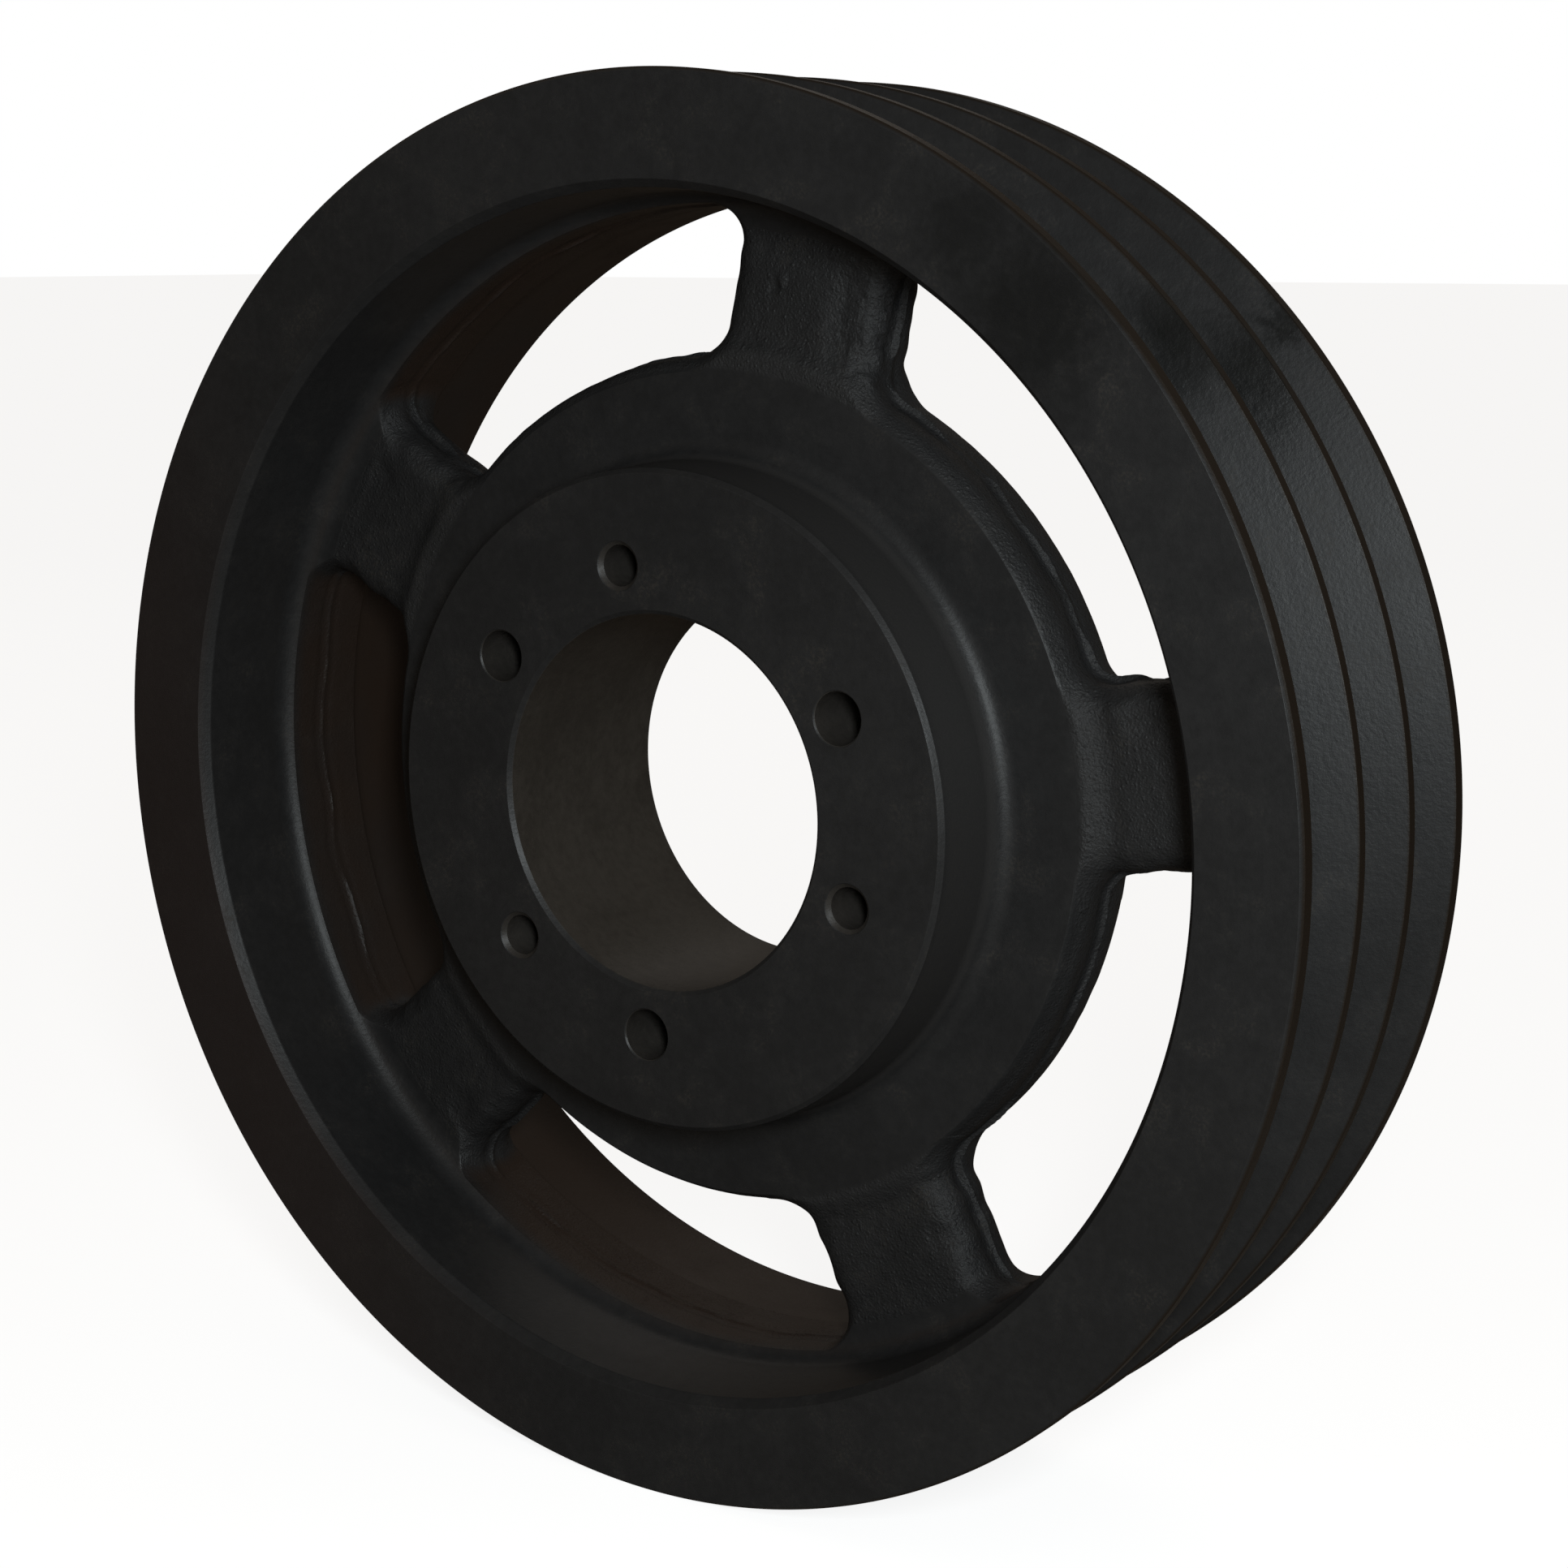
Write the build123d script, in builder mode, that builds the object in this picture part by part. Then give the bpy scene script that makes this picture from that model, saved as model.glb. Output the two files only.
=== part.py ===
from build123d import *
from math import cos, hypot, radians, sqrt, tan
import os

os.makedirs("parts", exist_ok=True)

# Three-groove, five-arm V-belt sheave for a tapered bushing. Millimetres.
# Y is the spin axis, the front faces -Y, Z is up, and the origin is on the axis at mid width.
# The sheave is one iron casting. Each solid below is one region of it, and neighbours meet face to face.

# Rim and grooves
outside_radius = 236.22
face_width = 117.475
groove_spacing = 36.5125
edge_to_groove = 22.225
groove_top_width = 32.59
groove_depth = 26.67
groove_half_angle = 19.0
land_tip_round = 0.6
rim_edge_chamfer = 1.2

# Inner side of the rim. The front mouth is chamfered and the rear one is not.
rim_mouth_radius = 201.9
rim_mouth_chamfer_radius = 199.2
rim_mouth_chamfer_depth = 4.0
rim_rear_mouth_radius = 199.6
rim_wall_end_radius = 198.6
bead_radius = 195.0
# The boring tool left a fillet between the bore wall and a face just clear of the arms.
tool_round = 9.5
tool_face_y = 14.24

# Hub boss and its tapered bore
boss_front_y = -48.2375
boss_rear_y = 33.46
boss_face_radius = 110.45
boss_root_radius = 112.0
boss_edge_chamfer = 1.6
boss_fillet = 8.0
bore_large_radius = 65.38
bore_taper_per_side = 0.03125
bore_mouth_chamfer = 1.5
bore_rear_chamfer = 0.8

# Screw holes in the hub
screw_circle_radius = 79.375
tapped_hole_radius = 6.9
tapped_hole_mouth_radius = 8.45
clearance_hole_radius = 8.73
first_tapped_angle = 101.2
first_clearance_angle = 146.2
screw_count = 3

# Hub web
web_split_radius = 126.0
web_outer_radius = 145.0
web_half_thickness = 16.74
# The web was cast a little thicker, with a rounded edge, and then faced.
web_cast_half_thickness = 18.2
web_edge_round = 10.0

# Arms
arm_count = 5
first_arm_angle = 6.8
arm_half_width = 30.0
arm_half_thickness = 14.0
arm_edge_round = 9.0
hub_corner_round = 8.0
rim_corner_round = 14.0
# A corner round stops just short of the wall it runs into, so that it still meets it at an angle.
hub_round_share = 0.8
rim_round_share = 0.97

front_y = -face_width / 2
rear_y = face_width / 2
groove_floor_radius = outside_radius - groove_depth
flank_run = groove_depth * tan(radians(groove_half_angle))
groove_centres = [front_y + edge_to_groove + groove_spacing * i for i in range(3)]


# Turned sections are drawn midway between two arms, so that no seam line crosses an arm.
section_plane = Plane.XY.rotated((0, -(first_arm_angle + 180 / arm_count), 0))

tool_centre_radius = rim_wall_end_radius - tool_round
tool_centre_y = tool_face_y + tool_round


def tool_arc_y(r):
    """Distance from mid width at which the tool's fillet reaches the radius r."""
    return tool_centre_y - sqrt(tool_round**2 - (r - tool_centre_radius) ** 2)


# ---------------------------------------------------------------- rim band
shoulder_middle_radius = (rim_wall_end_radius + bead_radius) / 2
front_mouth = [(rim_mouth_radius, front_y), (rim_mouth_chamfer_radius, front_y + rim_mouth_chamfer_depth)]
rear_mouth = [(rim_rear_mouth_radius, rear_y)]
with BuildPart() as rim_band:
    with BuildSketch(section_plane):
        with BuildLine():
            for side, mouth in ((-1, front_mouth), (1, rear_mouth)):
                Polyline(
                    (groove_floor_radius, 0),
                    (groove_floor_radius, side * rear_y),
                    *mouth,
                    (rim_wall_end_radius, side * tool_centre_y),
                )
                ThreePointArc(
                    (rim_wall_end_radius, side * tool_centre_y),
                    (shoulder_middle_radius, side * tool_arc_y(shoulder_middle_radius)),
                    (bead_radius, side * tool_arc_y(bead_radius)),
                )
                Line((bead_radius, side * tool_arc_y(bead_radius)), (bead_radius, 0))
        make_face()
    revolve(axis=Axis.Y)
rim_band.part.label = "rim_band"
export_step(rim_band.part, "parts/rim_band.step")


# ---------------------------------------------------------------- groove ribs
# Each rib is the iron between two grooves, or between a groove and a rim face.
def rib_ends(tip_start, tip_end, root_start, root_end):
    return [
        (groove_floor_radius, root_start),
        (outside_radius, tip_start),
        (outside_radius, tip_end),
        (groove_floor_radius, root_end),
    ]


half_top = groove_top_width / 2
rib_profiles = {
    "rib_front": rib_ends(front_y, groove_centres[0] - half_top, front_y, groove_centres[0] - half_top + flank_run),
    "rib_rear": rib_ends(groove_centres[2] + half_top, rear_y, groove_centres[2] + half_top - flank_run, rear_y),
}
for name, left, right in (("rib_mid_front", 0, 1), ("rib_mid_rear", 1, 2)):
    tip_start = groove_centres[left] + half_top
    tip_end = groove_centres[right] - half_top
    rib_profiles[name] = rib_ends(tip_start, tip_end, tip_start - flank_run, tip_end + flank_run)

for name, points in rib_profiles.items():
    with BuildPart() as rib:
        with BuildSketch(section_plane):
            with BuildLine():
                Polyline(*points, close=True)
            make_face()
            tips = vertices().group_by(Axis.X)[-1]
            face_tips = tips.filter_by(lambda v: abs(v.Y) > rear_y - 0.01)
            flank_tips = tips.filter_by(lambda v: abs(v.Y) < rear_y - 0.01)
            fillet(flank_tips, land_tip_round)
            if face_tips:
                chamfer(face_tips, rim_edge_chamfer)
        revolve(axis=Axis.Y)
    rib.part.label = name
    export_step(rib.part, f"parts/{name}.step")


# ---------------------------------------------------------------- hub boss
bore_small_radius = bore_large_radius - (boss_rear_y - boss_front_y) * bore_taper_per_side


def bore_radius(y):
    return bore_small_radius + (y - boss_front_y) * bore_taper_per_side


bore_mouth_y = boss_front_y + bore_mouth_chamfer
bore_tail_y = boss_rear_y - bore_rear_chamfer

with BuildPart() as hub_boss:
    with BuildSketch(section_plane):
        with BuildLine():
            Polyline(
                (bore_radius(bore_mouth_y) + bore_mouth_chamfer, boss_front_y),
                (boss_face_radius, boss_front_y),
                (boss_root_radius, -web_half_thickness),
                (web_split_radius, -web_half_thickness),
                (web_split_radius, web_half_thickness),
                (boss_root_radius, web_half_thickness),
                (boss_face_radius, boss_rear_y),
                (bore_radius(bore_tail_y) + bore_rear_chamfer, boss_rear_y),
                (bore_radius(bore_tail_y), bore_tail_y),
                (bore_radius(bore_mouth_y), bore_mouth_y),
                close=True,
            )
        make_face()
        roots = [(boss_root_radius, s * web_half_thickness, 0) for s in (-1, 1)]
        fillet([vertices().sort_by_distance(p)[0] for p in roots], boss_fillet)
        edges_of_boss = [(boss_face_radius, y, 0) for y in (boss_front_y, boss_rear_y)]
        chamfer([vertices().sort_by_distance(p)[0] for p in edges_of_boss], boss_edge_chamfer)
    revolve(axis=Axis.Y)
    front_plane = Plane(origin=(0, boss_front_y, 0), x_dir=(1, 0, 0), z_dir=(0, -1, 0))
    with BuildSketch(front_plane):
        with PolarLocations(screw_circle_radius, screw_count, start_angle=first_clearance_angle):
            Circle(clearance_hole_radius)
        with PolarLocations(screw_circle_radius, screw_count, start_angle=first_tapped_angle):
            Circle(tapped_hole_radius)
    extrude(amount=boss_front_y - boss_rear_y - 1, mode=Mode.SUBTRACT)
    holes = edges().filter_by(GeomType.CIRCLE)
    holes = holes.filter_by(lambda e: abs(hypot(e.arc_center.X, e.arc_center.Z) - screw_circle_radius) < 0.01)
    tapped_mouths = holes.filter_by(lambda e: abs(e.radius - tapped_hole_radius) < 0.01)
    clearance_mouths = holes.filter_by(lambda e: abs(e.radius - clearance_hole_radius) < 0.01)
    chamfer(tapped_mouths, tapped_hole_mouth_radius - tapped_hole_radius)
    chamfer(clearance_mouths, 0.5)
hub_boss.part.label = "hub_boss"
export_step(hub_boss.part, "parts/hub_boss.step")


# ---------------------------------------------------------------- hub web
web_round_radius = web_outer_radius - web_edge_round
web_round_y = web_cast_half_thickness - web_edge_round


def web_edge_radius(y):
    """Radius that the rounded edge of the web reaches at a distance y from mid width."""
    return web_round_radius + sqrt(web_edge_round**2 - (y - web_round_y) ** 2)


web_middle_y = (web_half_thickness + web_round_y) / 2
web_face_radius = web_edge_radius(web_half_thickness)

with BuildPart() as hub_web:
    with BuildSketch(section_plane):
        with BuildLine():
            for side in (-1, 1):
                Polyline(
                    (web_split_radius, 0),
                    (web_split_radius, side * web_half_thickness),
                    (web_face_radius, side * web_half_thickness),
                )
                ThreePointArc(
                    (web_face_radius, side * web_half_thickness),
                    (web_edge_radius(web_middle_y), side * web_middle_y),
                    (web_outer_radius, side * web_round_y),
                )
                Line((web_outer_radius, side * web_round_y), (web_outer_radius, 0))
        make_face()
    revolve(axis=Axis.Y)
hub_web.part.label = "hub_web"
export_step(hub_web.part, "parts/hub_web.step")


# ---------------------------------------------------------------- arms
hub_corner_x = sqrt((web_outer_radius + hub_corner_round) ** 2 - (arm_half_width + hub_corner_round) ** 2)
rim_corner_x = sqrt((bead_radius - rim_corner_round) ** 2 - (arm_half_width + rim_corner_round) ** 2)
rim_face_x = bead_radius - rim_corner_round


def corner_growth(distance, radius, share):
    reach = min(distance, radius * share)
    return radius - sqrt(radius**2 - reach**2)


def half_width_at(x):
    growth = 0.0
    if x < hub_corner_x:
        growth = corner_growth(hub_corner_x - x, hub_corner_round, hub_round_share)
    if x > rim_corner_x:
        growth = corner_growth(x - rim_corner_x, rim_corner_round, rim_round_share)
    return arm_half_width + growth


def half_thickness_at(x):
    if x > rim_face_x:
        return arm_half_thickness + corner_growth(x - rim_face_x, rim_corner_round, rim_round_share)
    return arm_half_thickness


hub_stations = [134.0] + [hub_corner_x - hub_corner_round * f for f in (0.8, 0.6, 0.35, 0.0)]
rim_stations = [rim_corner_x + rim_corner_round * f for f in (0.0, 0.3, 0.55, 0.75, 0.9, 0.97)]
rim_stations = rim_stations + [rim_face_x + rim_corner_round * f for f in (0.75, 0.88, 0.97)] + [204.0]


def arm_plane(x):
    return Plane(origin=(x, 0, 0), x_dir=(0, 1, 0), z_dir=(1, 0, 0))


# An arm stops at the bead, and the boring tool trimmed the fillet that runs up to it.
fillet_middle_radius = (tool_centre_radius + bead_radius) / 2
with BuildPart() as beyond_arm:
    with BuildSketch(section_plane):
        with BuildLine():
            for side in (-1, 1):
                Line((bead_radius, 0), (bead_radius, side * tool_arc_y(bead_radius)))
                ThreePointArc(
                    (bead_radius, side * tool_arc_y(bead_radius)),
                    (fillet_middle_radius, side * tool_arc_y(fillet_middle_radius)),
                    (tool_centre_radius, side * tool_face_y),
                )
                Polyline(
                    (tool_centre_radius, side * tool_face_y),
                    (tool_centre_radius - tool_round, side * tool_face_y),
                    (tool_centre_radius - tool_round, side * rear_y),
                    (outside_radius, side * rear_y),
                    (outside_radius, 0),
                )
        make_face()
    revolve(axis=Axis.Y)

with BuildPart() as arm:
    for x in hub_stations:
        with BuildSketch(arm_plane(x)):
            RectangleRounded(2 * half_thickness_at(x), 2 * half_width_at(x), arm_edge_round)
    loft(ruled=True)
    add(hub_web.part, mode=Mode.SUBTRACT)
    with BuildSketch(arm_plane(hub_corner_x)):
        RectangleRounded(2 * arm_half_thickness, 2 * arm_half_width, arm_edge_round)
    extrude(amount=rim_corner_x - hub_corner_x)
    for x in rim_stations:
        with BuildSketch(arm_plane(x)):
            RectangleRounded(2 * half_thickness_at(x), 2 * half_width_at(x), arm_edge_round)
    loft(ruled=True)
    add(beyond_arm.part, mode=Mode.SUBTRACT)

for index in range(arm_count):
    name = f"arm_{index + 1}"
    angle = first_arm_angle + 360 / arm_count * index
    placed_arm = arm.part.rotate(Axis.Y, -angle)
    placed_arm.label = name
    export_step(placed_arm, f"parts/{name}.step")
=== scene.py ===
import math

import bpy
import numpy as np
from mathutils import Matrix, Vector


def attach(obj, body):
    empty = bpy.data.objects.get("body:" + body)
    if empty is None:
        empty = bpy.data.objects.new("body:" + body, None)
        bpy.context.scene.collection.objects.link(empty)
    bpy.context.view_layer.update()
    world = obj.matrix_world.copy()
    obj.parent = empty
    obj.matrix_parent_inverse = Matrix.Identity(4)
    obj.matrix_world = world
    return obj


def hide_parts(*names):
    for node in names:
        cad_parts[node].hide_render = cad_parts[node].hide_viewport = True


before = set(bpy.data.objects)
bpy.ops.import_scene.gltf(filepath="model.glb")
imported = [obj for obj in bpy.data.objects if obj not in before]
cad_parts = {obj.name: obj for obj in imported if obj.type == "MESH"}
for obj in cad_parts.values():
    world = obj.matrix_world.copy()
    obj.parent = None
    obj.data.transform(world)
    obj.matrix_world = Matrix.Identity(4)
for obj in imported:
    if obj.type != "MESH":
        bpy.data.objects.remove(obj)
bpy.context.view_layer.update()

# A painted cast-iron V-belt sheave. Shapes are worked out in millimetres and written to the meshes in metres.
# Y is the spin axis and the front faces -Y. Angles run from +X towards +Z.
MM = 0.001
SEGMENTS = 720

# Rim and grooves
OUTER_R = 236.22
HALF_FACE = 117.475 / 2
GROOVE_SPACING = 36.5125
EDGE_TO_GROOVE = 22.225
HALF_GROOVE_TOP = 32.59 / 2
GROOVE_DEPTH = 26.67
GROOVE_HALF_ANGLE = math.radians(19.0)
FLOOR_R = OUTER_R - GROOVE_DEPTH
LAND_ROUND = 0.6
RIM_EDGE = 1.2
RIM_EDGE_ROUND = 0.3
ROOT_ROUND = 1.5
MOUTH_R = 201.9
MOUTH_INNER_R = 199.2
MOUTH_DEPTH = 4.0
REAR_MOUTH_R = 199.6
WALL_END_R = 198.6
BEAD_R = 195.0
TOOL_ROUND = 9.5
TOOL_FACE_Y = 14.24

# Hub
BOSS_FRONT_Y = -48.2375
BOSS_REAR_Y = 33.46
BOSS_FACE_R = 110.45
BOSS_ROOT_R = 112.0
BOSS_EDGE = 1.6
BOSS_LEAN = 0.05  # how much the boss widens over its edge chamfer's height
HUB_EDGE_ROUND = 0.5
BORE_EDGE_ROUND = 0.35
TAIL_EDGE_ROUND = 0.3
BOSS_FILLET = 8.0
BORE_LARGE_R = 65.38
BORE_TAPER = 0.03125
BORE_MOUTH = 1.5
BORE_TAIL = 0.8
SCREW_CIRCLE_R = 79.375
TAPPED_R = 6.9
TAPPED_MOUTH_R = 8.45
CLEARANCE_R = 8.73
CLEARANCE_MOUTH_R = 9.23
TAPPED_ANGLES = (101.2, 221.2, 341.2)
CLEARANCE_ANGLES = (26.2, 146.2, 266.2)
WEB_SPLIT_R = 126.0
WEB_R = 145.0
WEB_HALF = 16.74
WEB_CAST_HALF = 18.2
WEB_ROUND = 10.0

# Arms
ARM_ANGLES = [6.8 + 72.0 * i for i in range(5)]
ARM_HALF_W = 30.0
ARM_HALF_T = 14.0
ARM_ROUND = 9.5
ARM_GRID = 0.75


# ------------------------------------------------------------------ small helpers
def smooth(low, high, x):
    t = np.clip((x - low) / (high - low), 0, 1)
    return t * t * (3 - 2 * t)


def blend(a, b, t):
    return a + (b - a) * t


def round_union(a, b, radius):
    """Joins two solids with a fillet of that radius."""
    u = np.maximum(radius - a, 0)
    v = np.maximum(radius - b, 0)
    return np.maximum(radius, np.minimum(a, b)) - np.hypot(u, v)


def round_cut(a, b, radius):
    """What two solids share, with the edge rounded."""
    u = np.maximum(radius + a, 0)
    v = np.maximum(radius + b, 0)
    return np.minimum(-radius, np.maximum(a, b)) + np.hypot(u, v)


def swells(seed, count, shortest, longest):
    """A seeded set of plane waves: the slow unevenness of a sand mould."""
    rng = np.random.default_rng(seed)
    way = rng.normal(size=(count, 3))
    way /= np.linalg.norm(way, axis=1)[:, None]
    length = shortest * (longest / shortest) ** rng.random(count)
    size = length / np.sqrt((length**2).sum() / 2)
    return way * (2 * math.pi / length)[:, None], rng.random(count) * 2 * math.pi, size


def swell(points, waves):
    way, phase, size = (np.asarray(part, np.float32) for part in waves)
    return np.sin(points.astype(np.float32) @ way.T + phase) @ size


SLOW = swells(11, 20, 18.0, 55.0)
MID = swells(12, 26, 4.5, 10.0)
RIPPLE = swells(13, 22, 6.0, 13.0)
SEAM_PATH = swells(14, 12, 14.0, 60.0)
SEAM_SIZE = swells(15, 14, 8.0, 40.0)
WRINKLE = swells(16, 22, 2.4, 4.6)


# ------------------------------------------------------------------ the casting's surface
TOOL_CENTRE_R = WALL_END_R - TOOL_ROUND
TOOL_CENTRE_Y = TOOL_FACE_Y + TOOL_ROUND
WEB_EDGE_R = WEB_R - WEB_ROUND + math.sqrt(WEB_ROUND**2 - (WEB_ROUND - WEB_CAST_HALF + WEB_HALF) ** 2)
# How fast the bored wall widens towards the front mouth; the rear wall is taken as the same here
WALL_RISE = (MOUTH_INNER_R - WALL_END_R) / (HALF_FACE - MOUTH_DEPTH - TOOL_CENTRE_Y)
TURNED_FROM = (186.9, 187.6)  # turned skin starts over these radii
TURNED_BAND = (0.1, 0.4)  # and gives way to cast skin over these distances from the tool's space
MOUTH_BAND = (199.5, 201.0)  # no cast skin beyond these radii
WEB_BAND = 4.0  # cast skin comes in over this width outside the faced part of the web


def tool_space(r, y):
    """Distance to the space that the boring tool swept inside the rim, negative within it."""
    away = np.abs(y)
    q_r = r - TOOL_CENTRE_R - np.maximum(away - TOOL_CENTRE_Y, 0) * WALL_RISE
    q_y = TOOL_CENTRE_Y - away
    return np.hypot(np.maximum(q_r, 0), np.maximum(q_y, 0)) + np.minimum(np.maximum(q_r, q_y), 0) - TOOL_ROUND


def castness(r, y):
    """1 where the skin is as cast, 0 where it was turned."""
    near_tool = np.maximum(1 - smooth(*TURNED_BAND, tool_space(r, y)), np.abs(y) > TOOL_CENTRE_Y)
    turned = smooth(*TURNED_FROM, r) * near_tool
    return smooth(WEB_EDGE_R, WEB_EDGE_R + WEB_BAND, r) * (1 - smooth(*MOUTH_BAND, r)) * (1 - turned)


CORE_SHIFT = (-0.45, 0.75)  # the mould sat off the lathe's axis by this much in X and Z
CORE_SMALL = 0.55  # and the web's cast edge is this much under its nominal radius
CORE_BAND = (148.0, 158.0)  # both die out over these radii
SLOW_HEIGHT = 0.10
MID_HEIGHT = 0.025
# The mould's parting line near y = 0: a ridge with a shallow hollow on each side
RIDGE_WANDER = 0.7
RIDGE_HEIGHT = 1.25
RIDGE_WIDTH = 0.62
RIDGE_SIZES = (0.1, 1.9)  # its height varies along it between these shares
BEAD_BAND = (188.0, 194.0)  # and is less by this share on the rim's bead
BEAD_LESS = 0.55
HOLLOW_DEPTH = 0.4
HOLLOW_PLACE = 3.0
HOLLOW_WIDTH = 1.7


def skin(points):
    """How far the cast skin stands proud of its nominal shape."""
    x, y, z = points.T
    r = np.hypot(x, z)
    flat = points * (1, 0, 1)
    seam_y = RIDGE_WANDER * swell(flat, SEAM_PATH)
    size = np.clip(0.95 + 0.5 * swell(flat, SEAM_SIZE), *RIDGE_SIZES)
    size = size * (1 - BEAD_LESS * smooth(*BEAD_BAND, r))
    step = y - seam_y
    seam = RIDGE_HEIGHT * size * np.exp(-((step / RIDGE_WIDTH) ** 2))
    seam = seam - HOLLOW_DEPTH * np.exp(-(((np.abs(step) - HOLLOW_PLACE) / HOLLOW_WIDTH) ** 2))
    uneven = SLOW_HEIGHT * swell(points, SLOW) + MID_HEIGHT * swell(points, MID)
    off_centre = (x * CORE_SHIFT[0] + z * CORE_SHIFT[1]) / r - CORE_SMALL
    uneven = uneven + off_centre * (1 - smooth(*CORE_BAND, r))
    return (seam + uneven) * castness(r, y)


def web_shape(r, y):
    q_r = r - (WEB_R - WEB_ROUND)
    q_y = np.abs(y) - (WEB_CAST_HALF - WEB_ROUND)
    cast = np.hypot(np.maximum(q_r, 0), np.maximum(q_y, 0)) + np.minimum(np.maximum(q_r, q_y), 0) - WEB_ROUND
    return np.maximum(cast, np.abs(y) - WEB_HALF)


ARM_DRAFT = 0.03  # half width lost with each millimetre from the middle plane
# Each arm's shift across and extra half width
ARM_FIT = ((0.2, -0.3), (-1.1, 0.2), (-1.0, 0.8), (0.0, 0.0), (0.6, -0.1))


def arm_shape(index, y, w):
    shift, extra = ARM_FIT[index]
    half_w = ARM_HALF_W + extra - ARM_DRAFT * np.abs(y)
    q_w = np.abs(w - shift) - (half_w - ARM_ROUND)
    q_y = np.abs(y) - (ARM_HALF_T - ARM_ROUND)
    return np.hypot(np.maximum(q_w, 0), np.maximum(q_y, 0)) + np.minimum(np.maximum(q_w, q_y), 0) - ARM_ROUND


# Marks in the front of the arms: (arm, distance out, across, half length, half width, depth).
# A depth under 0 is a bump.
MARKS = (
    (0, 163.5, 19.0, 6.0, 5.0, 0.9),
    (1, 168.0, -21.5, 17.0, 8.5, 1.9),
    (1, 172.0, 7.0, 2.2, 1.5, -0.5),
    (1, 169.0, 9.5, 2.6, 2.2, 0.5),
    (2, 180.0, -14.0, 5.5, 5.0, 0.8),
    (3, 176.0, 17.0, 6.0, 6.0, 0.9),
    (4, 166.0, 22.0, 6.0, 4.5, 0.9),
)


DENT_EDGE = 1.6  # over 1 makes a dent's floor flatter and its edge steeper


def marks(index, s, y, w):
    total = np.zeros_like(s)
    for arm, out, across, half_length, half_width, depth in MARKS:
        if arm == index:
            gone = ((s - out) / half_length) ** 2 + ((w - across) / half_width) ** 2
            total = total + depth * np.exp(-(gone**DENT_EDGE)) * (y < 0)
    return total


WRINKLED_ARM = 1  # the arm whose front right edge has wrinkled in the mould
WRINKLE_BAND = (-12.0, -19.0)
WRINKLE_HEIGHT = 0.09
RIPPLE_BAND = (17.0, 26.0)  # the arms' flanks are rippled beyond these distances across
RIPPLE_HEIGHT = 0.22
NEAR_ARM = 6.0  # both die out over this distance from the arm's own shape
FLANK_START = (143.0, 150.0)
FLANK_END = (183.0, 191.0)


def flank_span(r):
    """1 along the middle of an arm, 0 at its ends."""
    return smooth(*FLANK_START, r) * (1 - smooth(*FLANK_END, r))


SINK = 0.02  # skirts lie this far under the surfaces that they blend into
REACH = 14.0  # how far an arm's fillets may reach from its sides
RIM_CORNER = 14.0  # fillet between an arm and the rim
ARM_INNER_R = 131.0  # each arm's piece ends inside the web's iron here
ARM_OUTER_R = 203.0  # and inside the rim's iron here
CLEAR = 20.0  # pushes a cut clear of the arm where it doesn't apply
BORED_BAND = (168.0, 178.0)  # the boring tool's cut comes in over these radii
BORED_EDGE = 0.4
FACED_BAND = (155.0, 165.0)  # and the web's facing cut dies out over these
FACED_EDGE = 0.6
HUB_CORNER = 9.0  # fillet between an arm's flank and the web
HUB_FLOW = (9.0, 12.0, 12.0, 12.0, 12.0)  # how softly each arm's face runs into the web's rounded edge
FLOW_BAND = (5.0, 12.0)  # one gives way to the other over these distances from the middle plane


def arm_field(index, s, y, w, with_skin=True):
    r = np.hypot(s, w)
    away = np.abs(y)
    arm = arm_shape(index, y, w)
    hub_round = blend(HUB_CORNER, HUB_FLOW[index], smooth(*FLOW_BAND, away))
    body = round_union(arm, web_shape(r, y) + SINK, hub_round)
    body = round_union(body, BEAD_R - r + SINK, RIM_CORNER)
    if with_skin:
        angle = math.radians(ARM_ANGLES[index])
        x = s * math.cos(angle) - w * math.sin(angle)
        z = s * math.sin(angle) + w * math.cos(angle)
        points = np.column_stack([x, y, z])
        near_arm = 1 - smooth(0.0, NEAR_ARM, arm)
        flank = smooth(*RIPPLE_BAND, np.abs(w)) * near_arm * flank_span(r)
        body = body - skin(points) - RIPPLE_HEIGHT * flank * swell(points, RIPPLE) + marks(index, s, y, w)
        if index == WRINKLED_ARM:
            edge = WRINKLE_HEIGHT * smooth(*WRINKLE_BAND, w) * flank_span(r) * near_arm * (y < 0)
            body = body - edge * swell(points, WRINKLE)
    body = round_cut(body, SINK - tool_space(r, y) - CLEAR * (1 - smooth(*BORED_BAND, r)), BORED_EDGE)
    body = round_cut(body, away - (WEB_HALF - SINK) - CLEAR * smooth(*FACED_BAND, r), FACED_EDGE)
    envelope = np.maximum(arm - REACH, np.maximum(ARM_INNER_R - r, r - ARM_OUTER_R))
    return np.maximum(body, envelope)


# ------------------------------------------------------------------ meshes
def new_object(name, points, faces):
    mesh = bpy.data.meshes.new(name)
    mesh.from_pydata((np.asarray(points) * MM).tolist(), [], np.asarray(faces).tolist())
    mesh.validate()
    obj = bpy.data.objects.new(name, mesh)
    bpy.context.scene.collection.objects.link(obj)
    return obj


def apply_modifiers(obj):
    """Replaces the object's mesh with what its modifiers make of it."""
    graph = bpy.context.evaluated_depsgraph_get()
    made = bpy.data.meshes.new_from_object(obj.evaluated_get(graph), depsgraph=graph)
    old = obj.data
    obj.modifiers.clear()
    obj.data = made
    bpy.data.meshes.remove(old)
    made.name = obj.name


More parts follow.
